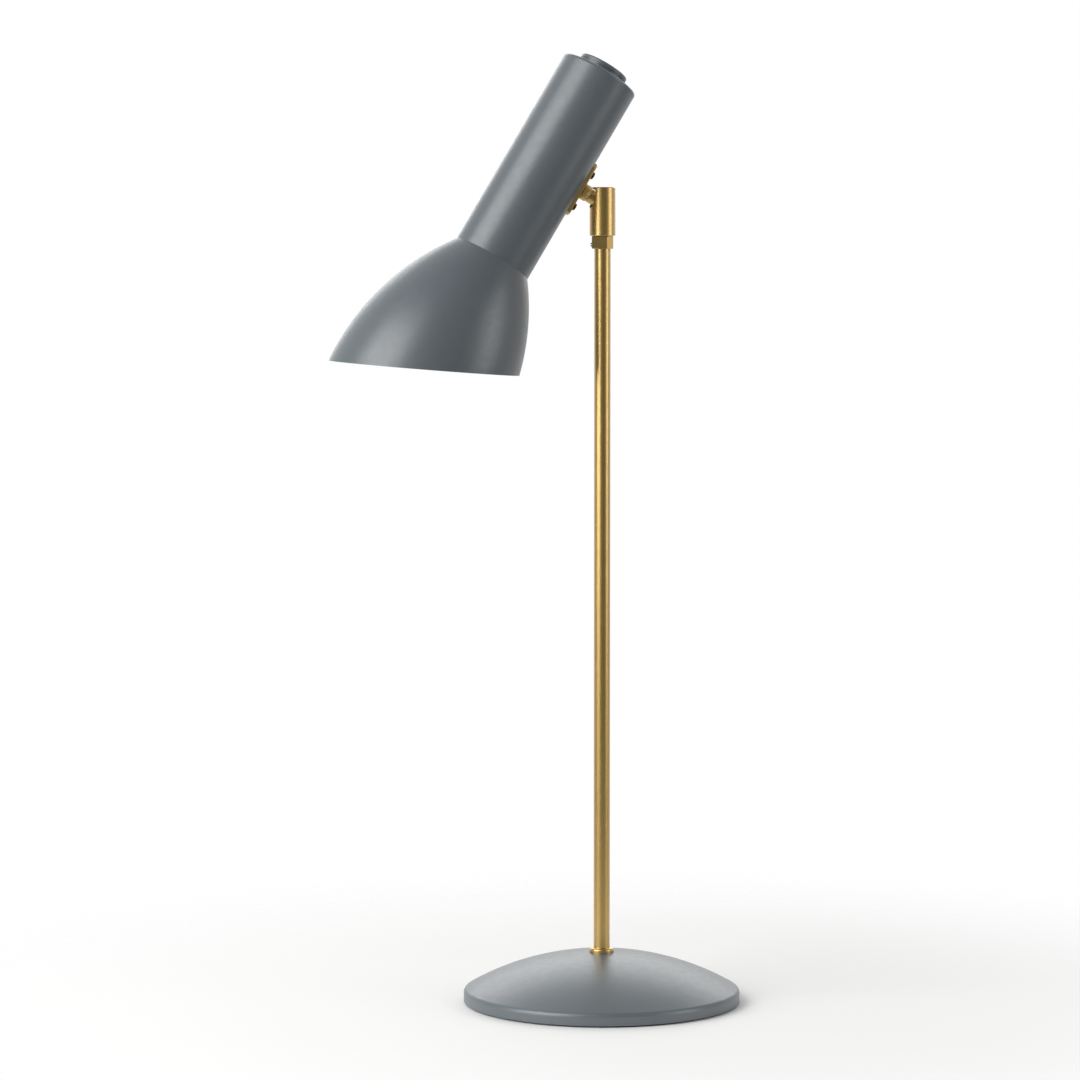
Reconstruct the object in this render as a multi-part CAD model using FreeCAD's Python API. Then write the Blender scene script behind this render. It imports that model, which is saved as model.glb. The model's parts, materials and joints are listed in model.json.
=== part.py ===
import FreeCAD, Part
import math
import os
from FreeCAD import Vector

# Desk lamp on a weighted round foot: a straight brass stem, a slotted brass barrel with a
# ball joint, and a cylindrical head that flares into a shade with an oblique mouth.
# Millimetres, +Z up. The origin is on the table, on the stem's axis. The head lies in the
# XZ plane and its shade points to -X.
#
# The head's pieces are drawn in the head's own frame: the ball's centre is the origin, the
# head tube stands upright and the stalk runs along -X. place_head() tips them into place.

# ---------------------------------------------------------------- fits and clearances
RUN = 0.05          # radial running fit of a shaft or a ball
FACE_GAP = 0.1      # flat faces of two moving pieces
FREE = 0.3          # radial room of a piece that must never touch
SLIP = 0.1          # radial room of a piece slipped over or into another

# ---------------------------------------------------------------- foot
BASE_D = 170.0
BASE_T = 1.2              # pressed steel sheet
BASE_EDGE_Z = 1.0         # the sheet's edge stays clear of the table
SKIRT_TOP_Z = 7.75        # where the dome would meet the skirt with no rounding
DOME_TOP_Z = 31.0
SHOULDER_R = 3.0

PAD_T = 2.0
PAD_INSET = 1.5           # pad edge to the skirt's inside
WEIGHT_GAP = 1.5          # iron to the dome's underside
WEIGHT_SIDE_GAP = 3.8     # iron to the skirt's inside
BOSS_R = 15.0
NUT_SEAT_Z = 16.0         # the clamped face under the iron
NUT_POCKET_R = 17.0

TERMINAL_W = 20.0
TERMINAL_L = 16.0
TERMINAL_H = 8.5
TERMINAL_Y = 34.0         # near face of the terminal block
TERMINAL_ROOM = 2.0       # pocket around the block
TERMINAL_PITCH = 10.0     # between its two poles
CLAMP_SCREW_R = 1.6
CLAMP_SCREW_L = 5.0
FIXING_SCREW_R = 1.5
FIXING_SCREW_L = 12.0
FIXING_HEAD_R = 2.8
FIXING_HEAD_L = 1.6

CORD_R = 2.5              # round mains cord that the inlet is made for
CORD_SLIP = 0.1
GROMMET_WALL = 0.7
GROMMET_FLANGE = 0.9
GROMMET_FLANGE_L = 1.0
GROMMET_Z = 5.2
CORD_WAY_W = 8.0          # channel through the iron from the inlet to the block
CORD_WAY_TOP_Z = 9.5

# ---------------------------------------------------------------- stem
STEM_R = 5.0
STEM_T = 1.0
STEM_TAIL = 7.5           # stem below the clamped face
STEM_WASHER_R = 12.0
STEM_WASHER_T = 1.5
STEM_NUT_AF = 17.0
STEM_NUT_H = 5.0
COLLAR_R = 7.5
COLLAR_H = 2.8
COLLAR_EDGE_R = 1.6

# ---------------------------------------------------------------- swivel on top of the stem
NUT_Z = 463.0             # underside of the eight-sided nut above the table
NUT_SIDES = 8
NUT_AF = 13.0
NUT_H = 7.8
NUT_CHAMFER = 0.5
NUT_TURN = 30.0           # degrees, where its flats point
STEM_IN_NUT = 4.0         # thread length taken by the stem
GRUB_R = 1.2
GRUB_Z = 2.6              # above the nut's underside
GRUB_PROUD = 0.9
SPIGOT_R = 4.0
SPIGOT_BORE_R = 2.9
SPIGOT_FOOT_L = 0.8       # wider foot that the nut holds down on the stem's end
FLANGE_R = 5.6
FLANGE_H = 1.6
SWIVEL_WASHER_T = 0.6
STOP_PIN_R = 0.6
STOP_PIN_L = 3.6
STOP_PIN_DROP = 0.9       # below the barrel, into the nut's groove
STOP_GROOVE_H = 1.2
STOP_GROOVE_ROOM = 0.2
STOP_HALF_ANGLE = 7.0     # half width of the land that stops the pin, in degrees

# ---------------------------------------------------------------- barrel and ball
BARREL_R = 7.9
BARREL_H = 29.5
BARREL_FLOOR = 3.0
BALL_H = 19.6             # ball centre above the barrel's lower face
BALL_R = 6.2
BARREL_GROOVE_DOWN = 2.4
BARREL_GROOVE_W = 0.4
BARREL_GROOVE_D = 0.3
BARREL_EDGE = 0.4
CUP_H = 6.7
CUP_TOP_DOWN = 3.8        # cup's upper edge below the ball's centre
CUP_BORE_R = 3.0
DISC_BORE_R = 3.2
DISC_T = 0.6

# ---------------------------------------------------------------- stalk between ball and head
STALK_R = 4.5
STALK_SPIGOT_R = 3.0
STALK_SPIGOT_X = 1.0      # spigot's end, from the ball's centre
STALK_SHOULDER = 9.3      # where the thick part ends, from the ball's centre
STALK_THREAD_R = 3.5
STALK_BORE_R = 2.0
STALK_PAST_NUT = 2.0
RING_R = 5.0
RING_PLAIN_R = 4.4
RING_NECK_R = 4.15
RING_PLAIN_L = 0.8
RING_NECK_L = 0.5
RING_TEETH = 30
RING_TOOTH = 0.22
STALK_WASHER_R = 6.5
STALK_WASHER_T = 1.0
STALK_NUT_AF = 11.0
STALK_NUT_H = 3.0

# ---------------------------------------------------------------- head
HEAD_TILT = 31.3          # tube's lean from upright, in degrees, as the lamp is left
STALK_RISE_MIN = 20.0     # the slot lets the stalk rise from this angle, in degrees
STALK_RISE_MAX = 80.0     # to this one
HEAD_REACH = 41.9         # ball centre to the tube's axis
TUBE_R = 24.7
TUBE_T = 1.2
TUBE_EDGE_R = 1.6         # rounding of the closed end's rim
TUBE_ABOVE = 65.9         # tube's closed end above the stalk
TUBE_BELOW = 64.6         # its open end below the stalk
BUTTON_R = 15.5
BUTTON_PROUD = 5.6
BUTTON_TRAVEL = 2.0
BUTTON_IN = 0.6           # skirt of the button below the tube's end face
BUTTON_WALL = 3.0
BUTTON_TOP_T = 1.6
BUTTON_EDGE_R = 0.9
BUTTON_GROOVE_DOWN = 2.4  # groove's upper edge below the button's face
BUTTON_GROOVE_W = 0.5
BUTTON_GROOVE_D = 0.3
RECESS_ROOM = 0.3
PLUNGER_R = 2.5
PLUNGER_L = 19.6
PLUNGER_HEAD_R = 5.0
PLUNGER_HEAD_L = 0.6
SWITCH_R = 8.0
SWITCH_L = 22.0
SWITCH_BUSH_R = 5.0
SWITCH_BUSH_IN = 2.5      # bush inside the switch body
SWITCH_BUSH_OUT = 1.6     # bush above the recess floor
SWITCH_NUT_AF = 14.0
SWITCH_NUT_H = 1.3

PLATE_T = 2.0
PLATE_L = 36.0
PLATE_W = 14.0
PLATE_CORNER_R = 3.5
PLATE_BEVEL = 0.7         # on the outer edges, all round
SCREW_PITCH = 22.0
SCREW_R = 1.5
SCREW_HEAD_R = 2.3
SCREW_HEAD_L = 1.8
SCREW_HEAD_EDGE = 0.7
SCREW_SLOT_W = 0.6
SCREW_SLOT_D = 0.9

# ---------------------------------------------------------------- shade
SHADE_T = 1.0
SHADE_WIDEST_R = 54.5
SHADE_WIDEST_U = 89.7     # from the tube's open end
SHADE_NECK_L = 10.0
SHADE_LIP_T = 1.2
MOUTH_NEAR_U = 52.1       # mouth's edge on the stem side, from the tube's open end
MOUTH_ANGLE = 26.5        # mouth's plane from square to the tube, in degrees

# ---------------------------------------------------------------- lampholder and bulb
STRAP_W = 18.0
STRAP_T = 3.0
STRAP_TOP = 18.0
STRAP_FOOT_Z = -22.0      # underside of the strap's foot, from the stalk
STRAP_FOOT_T = 2.0
STRAP_FOOT_PAST = 10.0    # foot beyond the tube's axis
NIPPLE_R = 5.0
NIPPLE_BORE_R = 3.5
NIPPLE_UP = 6.0           # above the strap's foot
NIPPLE_DOWN = 8.0
HOLDER_NUT_AF = 14.0
HOLDER_NUT_H = 3.0
HOLDER_R = 13.5
HOLDER_CAP_L = 12.0
HOLDER_BODY_L = 23.0
HOLDER_BORE_R = 8.4
HOLDER_ROOF = 4.0         # solid roof of the body, under the cap
HOLDER_EDGE_R = 2.0
SCREW_SHELL_R = 7.9
SCREW_SHELL_T = 0.4
SCREW_SHELL_L = 16.0
CONTACT_T = 0.4
CONTACT_W = 5.0
BULB_R = 22.5
BULB_CAP_R = 6.95
BULB_CAP_L = 16.0
BULB_TIP_R = 2.4
BULB_TIP_L = 2.5
BULB_L = 78.0             # whole bulb, contact to crown
BULB_WALL = 0.8
BULB_NECK_R = 6.6

# ---------------------------------------------------------------- wiring
BASE_LEAD_R = 1.5
BASE_LEAD_Z = 5.0
BASE_LEAD_BEND = 9.0
HEAD_LEAD_R = 0.9
HEAD_LEAD_BEND = 7.0
LEAD_SIDE = 1.2           # leads lie this far each side of the head's middle plane

# ---------------------------------------------------------------- places worked out from the sizes
BASE_R = BASE_D / 2
DOME_RISE = DOME_TOP_Z - SKIRT_TOP_Z
DOME_R = (BASE_R ** 2 + DOME_RISE ** 2) / (2 * DOME_RISE)
DOME_CENTRE_Z = DOME_TOP_Z - DOME_R
BOSS_TOP_Z = DOME_CENTRE_Z + math.sqrt((DOME_R - BASE_T) ** 2 - BOSS_R ** 2)
TERMINAL_TOP_Z = BASE_LEAD_Z - BASE_LEAD_R + TERMINAL_H
STEM_END_Z = NUT_SEAT_Z - STEM_TAIL
NUT_TOP_Z = NUT_Z + NUT_H
STEM_TOP_Z = NUT_Z + STEM_IN_NUT
BARREL_Z = NUT_TOP_Z + FACE_GAP
BARREL_TOP_Z = BARREL_Z + BARREL_H
FLOOR_Z = BARREL_Z + BARREL_FLOOR
FLANGE_Z = FLOOR_Z + RUN + SWIVEL_WASHER_T + RUN
FLANGE_TOP_Z = FLANGE_Z + FLANGE_H
PIVOT_Z = BARREL_Z + BALL_H
CAVITY_R = BALL_R + RUN
CUP_TOP_Z = PIVOT_Z - CUP_TOP_DOWN
CUP_Z = CUP_TOP_Z - CUP_H
STOP_PIN_AT = (SPIGOT_R + NUT_AF / 2) / 2
SPIGOT_FOOT_R = STEM_R - STEM_T / 2
SLOT_HALF = RING_R + RUN + SLIP
BALL_FLAT_X = math.sqrt(BALL_R ** 2 - STALK_R ** 2)

TUBE_BORE_R = TUBE_R - TUBE_T
TUBE_X = -HEAD_REACH
PLATE_OUT_X = TUBE_X + TUBE_R + PLATE_T
RING_END_X = PLATE_OUT_X + FACE_GAP
WALL_IN_X = TUBE_X + TUBE_BORE_R
STRAP_FLAT_X = WALL_IN_X - STRAP_T
STALK_WASHER_X = STRAP_FLAT_X - RUN
STALK_NUT_X = STALK_WASHER_X - STALK_WASHER_T
STALK_END_X = STALK_NUT_X - STALK_NUT_H - STALK_PAST_NUT
STRAP_FOOT_TOP = STRAP_FOOT_Z + STRAP_FOOT_T
RECESS_R = BUTTON_R + RECESS_ROOM
BUTTON_Z = TUBE_ABOVE - BUTTON_IN
BUTTON_TOP = TUBE_ABOVE + BUTTON_PROUD
RECESS_Z = BUTTON_Z - BUTTON_TRAVEL - FACE_GAP - RECESS_ROOM
END_UNDER_Z = RECESS_Z - TUBE_T
SWITCH_Z = END_UNDER_Z - SWITCH_L
HOLDER_TOP_Z = STRAP_FOOT_Z
HOLDER_JOIN_Z = HOLDER_TOP_Z - HOLDER_CAP_L
HOLDER_MOUTH_Z = HOLDER_JOIN_Z - HOLDER_BODY_L
HOLDER_ROOF_Z = HOLDER_JOIN_Z - HOLDER_ROOF
BULB_TIP_Z = HOLDER_ROOF_Z - CONTACT_T - SLIP
BULB_CENTRE_Z = BULB_TIP_Z - BULB_L + BULB_R
BULB_SHELL_TOP = BULB_TIP_Z - BULB_TIP_L
BULB_SHELL_END = BULB_SHELL_TOP - BULB_CAP_L
SHADE_FLARE = SHADE_WIDEST_R - TUBE_R
SHADE_ARC_R = (SHADE_WIDEST_U ** 2 + SHADE_FLARE ** 2) / (2 * SHADE_FLARE)
SHADE_ARC_IN = SHADE_ARC_R - SHADE_WIDEST_R


# ---------------------------------------------------------------- small helpers
def rod(radius, start, end):
    """Cylinder from one point to another."""
    along = end.sub(start)
    return Part.makeCylinder(radius, along.Length, start, along)


def upright(radius, low, high, x=0.0):
    """Vertical cylinder at (x, 0)."""
    return rod(radius, Vector(x, 0, low), Vector(x, 0, high))


def washer(outer, inner, low, high, x=0.0):
    """Vertical ring at (x, 0)."""
    return upright(outer, low, high, x).cut(upright(inner, low, high, x))


def across(radius, from_x, to_x, z=0.0):
    """Cylinder along X at height z."""
    return rod(radius, Vector(from_x, 0, z), Vector(to_x, 0, z))


def block(low, high):
    """Box between two corners given as (x, y, z)."""
    size = [b - a for a, b in zip(low, high)]
    return Part.makeBox(size[0], size[1], size[2], Vector(*low))


def prism(sides, across_flats, height, turn=0.0):
    """Upright prism on the origin with one flat's normal turned from +X by turn degrees."""
    radius = across_flats / 2 / math.cos(math.pi / sides)
    corners = []
    for i in range(sides + 1):
        angle = math.radians(turn) + math.pi / sides * (2 * i + 1)
        corners.append(Vector(radius * math.cos(angle), radius * math.sin(angle), 0))
    return Part.Face(Part.makePolygon(corners)).extrude(Vector(0, 0, height))


def lay_along_x(shape, x):
    """Turn an upright shape so that its +Z points to -X, then move its origin to x."""
    turned = shape.copy()
    turned.rotate(Vector(), Vector(0, 1, 0), -90)
    turned.translate(Vector(x, 0, 0))
    return turned


def turned_profile(edges, x=0.0):
    """Solid of revolution about the vertical line at (x, 0), from edges in the XZ plane."""
    face = Part.Face(Part.Wire(edges))
    solid = face.revolve(Vector(), Vector(0, 0, 1), 360)
    solid.translate(Vector(x, 0, 0))
    return solid


def outline(points):
    """Closed loop of straight edges through (r, z) points."""
    corners = [Vector(r, 0, z) for r, z in points]
    return Part.makePolygon(corners + corners[:1]).Edges


def arc(start, middle, end):
    """Circular edge through three (r, z) points."""
    return Part.Arc(*[Vector(r, 0, z) for r, z in (start, middle, end)]).toShape()


def line(start, end):
    return Part.makeLine(Vector(start[0], 0, start[1]), Vector(end[0], 0, end[1]))


def round_edges(shape, radius, wanted):
    """Fillet the edges that the test picks."""
    return shape.makeFillet(radius, [edge for edge in shape.Edges if wanted(edge)])


def is_circle(edge, radius, z):
    """True for a horizontal circle of this radius at this height."""
    near = 1e-3
    if edge.Degenerated or not isinstance(edge.Curve, Part.Circle):
        return False
    return abs(edge.Curve.Radius - radius) < near and abs(edge.Curve.Center.z - z) < near


def lead(points, radius, bend):
    """Round lead along straight runs that are joined by tangent arcs."""
    pieces = []
    start = points[0]
    for before, corner, after in zip(points, points[1:], points[2:]):
        inward = before.sub(corner).normalize()
        outward = after.sub(corner).normalize()
        half = inward.getAngle(outward) / 2
        reach = bend / math.tan(half)
        toward = inward.add(outward).normalize()
        into = corner.add(inward.multiply(reach))
        away = corner.add(outward.multiply(reach))
        middle = corner.add(toward.multiply(bend / math.sin(half) - bend))
        pieces.append(Part.makeLine(start, into))
        pieces.append(Part.Arc(into, middle, away).toShape())
        start = away
    pieces.append(Part.makeLine(start, points[-1]))
    path = Part.Wire(pieces)
    first = points[1].sub(points[0])
    section = Part.Wire(Part.makeCircle(radius, points[0], first))
    tube = path.makePipeShell([section], True, True)
    print("lead: length %.1f, bends %.1f" % (path.Length, bend))
    return tube


def place_head(shape):
    """Tip a shape from the head's own frame into the lamp."""
    placed = shape.copy()
    placed.rotate(Vector(), Vector(0, 1, 0), HEAD_TILT)
    placed.translate(Vector(0, 0, PIVOT_Z))
    return placed


# ---------------------------------------------------------------- foot
def under_dome(inset):
    """Everything under the dome and inside the skirt, moved inwards by inset."""
    ball = Part.makeSphere(DOME_R - inset, Vector(0, 0, DOME_CENTRE_Z))
    body = upright(BASE_R - inset, 0, DOME_TOP_Z).common(ball)
    edge_z = DOME_CENTRE_Z + math.sqrt((DOME_R - inset) ** 2 - (BASE_R - inset) ** 2)
    return round_edges(body, SHOULDER_R - inset, lambda e: is_circle(e, BASE_R - inset, edge_z))


def inlet_rod(radius, from_y, to_y):
    return rod(radius, Vector(0, from_y, GROMMET_Z), Vector(0, to_y, GROMMET_Z))


def base_shell():
    shell = under_dome(0).cut(under_dome(BASE_T))
    shell = shell.cut(upright(BASE_R + 1, 0, BASE_EDGE_Z))
    shell = shell.cut(upright(STEM_R + SLIP, 0, DOME_TOP_Z))
    neck = CORD_R + CORD_SLIP + GROMMET_WALL
    return shell.cut(inlet_rod(neck, BASE_R / 2, BASE_R + 1))


def base_weight():
    ball = Part.makeSphere(DOME_R - BASE_T - WEIGHT_GAP, Vector(0, 0, DOME_CENTRE_Z))
    radius = BASE_R - BASE_T - WEIGHT_SIDE_GAP
    iron = upright(radius, PAD_T, DOME_TOP_Z).common(ball)
    iron = iron.fuse(upright(BOSS_R, NUT_SEAT_Z, BOSS_TOP_Z))
    iron = iron.cut(upright(NUT_POCKET_R, PAD_T, NUT_SEAT_Z))
    iron = iron.cut(upright(STEM_R + SLIP, PAD_T, DOME_TOP_Z))
    half = TERMINAL_W / 2 + TERMINAL_ROOM
    far = TERMINAL_Y + TERMINAL_L + TERMINAL_ROOM
    iron = iron.cut(block((-half, 0, PAD_T), (half, far, TERMINAL_TOP_Z)))
    half = CORD_WAY_W / 2
    iron = iron.cut(block((-half, far, PAD_T), (half, BASE_R, CORD_WAY_TOP_Z)))
    hole = Vector(0, TERMINAL_Y + TERMINAL_L / 2, TERMINAL_TOP_Z - TERMINAL_H)
    depth = FIXING_SCREW_L - FIXING_HEAD_L
    return iron.cut(rod(FIXING_SCREW_R, hole, hole.add(Vector(0, 0, depth))))


def base_pad():
    return upright(BASE_R - BASE_T - PAD_INSET, 0, PAD_T)


def cable_grommet():
    neck = CORD_R + CORD_SLIP + GROMMET_WALL
    outside = BASE_R + GROMMET_FLANGE_L
    inside = BASE_R - BASE_T - GROMMET_FLANGE_L
    plug = inlet_rod(neck + GROMMET_FLANGE, inside, outside)
    plug = plug.cut(base_shell())
    return plug.cut(inlet_rod(CORD_R + CORD_SLIP, inside, outside))


def terminal_spots(down):
    """Places of the block's four clamp screws: two poles, one screw at each end."""
    spots = []
    for x in (-TERMINAL_PITCH / 2, TERMINAL_PITCH / 2):
        for y in (TERMINAL_L / 4, TERMINAL_L * 3 / 4):
            spots.append(Vector(x, TERMINAL_Y + y, down))
    return spots


def clamp_screws():
    low = TERMINAL_TOP_Z - TERMINAL_H
    tall = Vector(0, 0, CLAMP_SCREW_L)
    screws = [rod(CLAMP_SCREW_R, spot, spot.add(tall)) for spot in terminal_spots(low)]
    return Part.makeCompound(screws)


def fixing_screw():
    low = TERMINAL_TOP_Z - TERMINAL_H
    middle = Vector(0, TERMINAL_Y + TERMINAL_L / 2, low)
    shank_end = middle.add(Vector(0, 0, FIXING_SCREW_L - FIXING_HEAD_L))
    head_top = middle.add(Vector(0, 0, FIXING_HEAD_L))
    return rod(FIXING_HEAD_R, middle, head_top).fuse(rod(FIXING_SCREW_R, middle, shank_end))


def terminal_block():
    low = TERMINAL_TOP_Z - TERMINAL_H
    half = TERMINAL_W / 2
    body = block((-half, TERMINAL_Y, low), (half, TERMINAL_Y + TERMINAL_L, TERMINAL_TOP_Z))
    return body.cut(clamp_screws()).cut(fixing_screw())


def base_lead():
    start = Vector(0, TERMINAL_Y, BASE_LEAD_Z)
    corner = Vector(0, 0, BASE_LEAD_Z)
    end = Vector(0, 0, FLANGE_Z)
    return lead([start, corner, end], BASE_LEAD_R, BASE_LEAD_BEND)


# ---------------------------------------------------------------- stem
def stem_tube():
    return washer(STEM_R, STEM_R - STEM_T, STEM_END_Z, STEM_TOP_Z)


def stem_washer():
    return washer(STEM_WASHER_R, STEM_R + SLIP, NUT_SEAT_Z - STEM_WASHER_T, NUT_SEAT_Z)


def stem_nut():
    top = NUT_SEAT_Z - STEM_WASHER_T
    nut = prism(6, STEM_NUT_AF, STEM_NUT_H)
    nut.translate(Vector(0, 0, top - STEM_NUT_H))
    return nut.cut(upright(STEM_R, top - STEM_NUT_H, top))


def stem_collar():
    top = DOME_TOP_Z + COLLAR_H
    body = upright(COLLAR_R, 0, top)
    body = round_edges(body, COLLAR_EDGE_R, lambda e: is_circle(e, COLLAR_R, top))
    body = body.cut(Part.makeSphere(DOME_R, Vector(0, 0, DOME_CENTRE_Z)))
    return body.cut(upright(STEM_R + SLIP, 0, top))


# ---------------------------------------------------------------- swivel
def chamfered_prism(sides, across_flats, height, chamfer, turn):
    """Prism whose corners are turned off at both ends, as on a nut."""
    corner = across_flats / 2 / math.cos(math.pi / sides)
    flat = across_flats / 2 - chamfer / 2
    upper = height - chamfer
    points = [(0, 0), (flat, 0), (corner, chamfer), (corner, upper), (flat, height), (0, height)]
    return prism(sides, across_flats, height, turn).common(turned_profile(outline(points)))


def stop_groove():
    """Ring groove in the nut's top, with a land on the +X side that stops the pin."""
    outer = STOP_PIN_AT + STOP_PIN_R + STOP_GROOVE_ROOM
    inner = STOP_PIN_AT - STOP_PIN_R - STOP_GROOVE_ROOM
    low = NUT_TOP_Z - STOP_GROOVE_H
    groove = washer(outer, inner, low, NUT_TOP_Z)
    side = outer * math.tan(math.radians(STOP_HALF_ANGLE))
    points = [Vector(0, 0, low), Vector(outer, -side, low), Vector(outer, side, low), Vector(0, 0, low)]
    land = Part.Face(Part.makePolygon(points)).extrude(Vector(0, 0, STOP_GROOVE_H))
    return groove.cut(land)


def grub_screw(proud):
    z = NUT_Z + GRUB_Z
    return across(GRUB_R, -STEM_R, -NUT_AF / 2 - proud, z)


def swivel_nut():
    nut = chamfered_prism(NUT_SIDES, NUT_AF, NUT_H, NUT_CHAMFER, NUT_TURN)
    nut.translate(Vector(0, 0, NUT_Z))
    nut = nut.cut(upright(STEM_R, NUT_Z, STEM_TOP_Z))
    nut = nut.cut(upright(SPIGOT_R, STEM_TOP_Z, NUT_TOP_Z))
    nut = nut.cut(upright(SPIGOT_FOOT_R, STEM_TOP_Z, STEM_TOP_Z + SPIGOT_FOOT_L))
    return nut.cut(stop_groove()).cut(grub_screw(GRUB_PROUD))


def swivel_grub_screw():
    screw = grub_screw(GRUB_PROUD)
    out_x = -NUT_AF / 2 - GRUB_PROUD
    slot = block((out_x, -GRUB_R, -GRUB_R / 4), (out_x + GRUB_R / 2, GRUB_R, GRUB_R / 4))
    slot.translate(Vector(0, 0, NUT_Z + GRUB_Z))
    return screw.cut(slot).cut(upright(STEM_R, NUT_Z, STEM_TOP_Z))


def swivel_spigot():
    shank = upright(SPIGOT_R, STEM_TOP_Z, FLANGE_TOP_Z)
    flange = upright(FLANGE_R, FLANGE_Z, FLANGE_TOP_Z)
    foot = upright(SPIGOT_FOOT_R, STEM_TOP_Z, STEM_TOP_Z + SPIGOT_FOOT_L)
    bore = upright(SPIGOT_BORE_R, STEM_TOP_Z, FLANGE_TOP_Z)
    return shank.fuse(flange).fuse(foot).cut(bore).removeSplitter()


def stop_pin():
    low = BARREL_Z - STOP_PIN_DROP
    return upright(STOP_PIN_R, low, low + STOP_PIN_L, -STOP_PIN_AT)


def swivel_washer():
    low = FLOOR_Z + RUN
    return washer(FLANGE_R, SPIGOT_R + RUN, low, low + SWIVEL_WASHER_T)


# ---------------------------------------------------------------- barrel and ball
def ball_cavity():
    """Bore that the ball is loaded through, ending in a round seat."""
    half = CAVITY_R * math.sqrt(0.5)
    wall = (CAVITY_R, PIVOT_Z)
    crown = (0, PIVOT_Z + CAVITY_R)
    edges = [
        line((0, FLOOR_Z), (CAVITY_R, FLOOR_Z)),
        line((CAVITY_R, FLOOR_Z), wall),
        arc(wall, (half, PIVOT_Z + half), crown),
        line(crown, (0, FLOOR_Z)),
    ]
    return turned_profile(edges)


def along_stalk(rise, length):
    """Point this far from the ball's centre when the stalk rises by this angle."""
    angle = math.radians(rise)
    return Vector(-length * math.cos(angle), 0, PIVOT_Z + length * math.sin(angle))


def stalk_slot():
    """Fan that the stalk swings through, with a round end at each of its limits."""
    pivot = Vector(0, 0, PIVOT_Z)
    lowest = along_stalk(STALK_RISE_MIN, 2 * BARREL_H)
    steepest = along_stalk(STALK_RISE_MAX, 2 * BARREL_H)
    fan = Part.Face(Part.makePolygon([pivot, lowest, steepest, pivot]))
    fan.translate(Vector(0, -SLOT_HALF, 0))
    slot = fan.extrude(Vector(0, 2 * SLOT_HALF, 0))
    return slot.fuse(rod(SLOT_HALF, pivot, lowest)).fuse(rod(SLOT_HALF, pivot, steepest))


def joint_barrel():
    points = [
        (0, BARREL_Z),
        (BARREL_R - BARREL_EDGE, BARREL_Z),
        (BARREL_R, BARREL_Z + BARREL_EDGE),
        (BARREL_R, BARREL_TOP_Z - BARREL_EDGE),
        (BARREL_R - BARREL_EDGE, BARREL_TOP_Z),
        (0, BARREL_TOP_Z),
    ]
    body = turned_profile(outline(points))
    body = body.cut(ball_cavity())
    body = body.cut(stalk_slot())
    body = body.cut(upright(SPIGOT_R + RUN, BARREL_Z, FLOOR_Z))
    groove_z = BARREL_TOP_Z - BARREL_GROOVE_DOWN
    inner = BARREL_R - BARREL_GROOVE_D
    body = body.cut(washer(BARREL_R + 1, inner, groove_z - BARREL_GROOVE_W, groove_z))
    return body.cut(stop_pin())


def ball_cup():
    cup = washer(CAVITY_R - SLIP, CUP_BORE_R, CUP_Z, CUP_TOP_Z)
    return cup.cut(Part.makeSphere(CAVITY_R, Vector(0, 0, PIVOT_Z)))


def ball_spring():
    """Two disc springs, rim to rim, between the spigot's flange and the cup."""
    low = FLANGE_TOP_Z + FACE_GAP
    middle = (low + CUP_Z) / 2
    outer = CAVITY_R - SLIP - FREE
    bore = DISC_BORE_R
    lower = [(bore, low), (outer, middle - DISC_T), (outer, middle), (bore, low + DISC_T)]
    upper = [(r, 2 * middle - z) for r, z in lower]
    return Part.makeCompound([turned_profile(outline(lower)), turned_profile(outline(upper))])


def ball():
    """Turned about the stalk's axis, with a flat for the stalk and a way in for the leads."""
    back_z = -math.sqrt(BALL_R ** 2 - STALK_BORE_R ** 2)
    edges = [
        line((STALK_BORE_R, back_z), (STALK_BORE_R, STALK_SPIGOT_X)),
        line((STALK_BORE_R, STALK_SPIGOT_X), (STALK_SPIGOT_R, STALK_SPIGOT_X)),
        line((STALK_SPIGOT_R, STALK_SPIGOT_X), (STALK_SPIGOT_R, BALL_FLAT_X)),
        line((STALK_SPIGOT_R, BALL_FLAT_X), (STALK_R, BALL_FLAT_X)),
        arc((STALK_R, BALL_FLAT_X), (BALL_R, 0), (STALK_BORE_R, back_z)),
    ]
    solid = lay_along_x(turned_profile(edges), 0)
    wire_way = block((0, -STALK_BORE_R, -2 * BALL_R), (2 * BALL_R, STALK_BORE_R, 0))
    return solid.cut(wire_way)


def stalk():
    body = across(STALK_SPIGOT_R, -STALK_SPIGOT_X, -BALL_FLAT_X)
    body = body.fuse(across(STALK_R, -BALL_FLAT_X, -STALK_SHOULDER))
    body = body.fuse(across(STALK_THREAD_R, -STALK_SHOULDER, STALK_END_X))
    return body.cut(across(STALK_BORE_R, 0, STALK_END_X))


def knurled(radius, tooth, teeth, height):
    """Upright cylinder with straight V teeth."""
    corners = []
    for i in range(2 * teeth):
        reach = radius - tooth * (i % 2)
        angle = math.pi * i / teeth
        corners.append(Vector(reach * math.cos(angle), reach * math.sin(angle), 0))
    return Part.Face(Part.makePolygon(corners + corners[:1])).extrude(Vector(0, 0, height))


def stalk_ring():
    start = -STALK_SHOULDER
    neck = start - RING_PLAIN_L
    band = neck - RING_NECK_L
    ring = across(RING_PLAIN_R, start, neck)
    ring = ring.fuse(across(RING_NECK_R, neck, band))
    grip = knurled(RING_R, RING_TOOTH, RING_TEETH, band - RING_END_X)
    ring = ring.fuse(lay_along_x(grip, band))
    return ring.cut(across(STALK_THREAD_R, start, RING_END_X))


def stalk_washer():
    ring = washer(STALK_WASHER_R, STALK_THREAD_R, 0, STALK_WASHER_T)
    return lay_along_x(ring, STALK_WASHER_X)


def stalk_nut():
    nut = prism(6, STALK_NUT_AF, STALK_NUT_H).cut(upright(STALK_THREAD_R, 0, STALK_NUT_H))
    return lay_along_x(nut, STALK_NUT_X)


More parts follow.
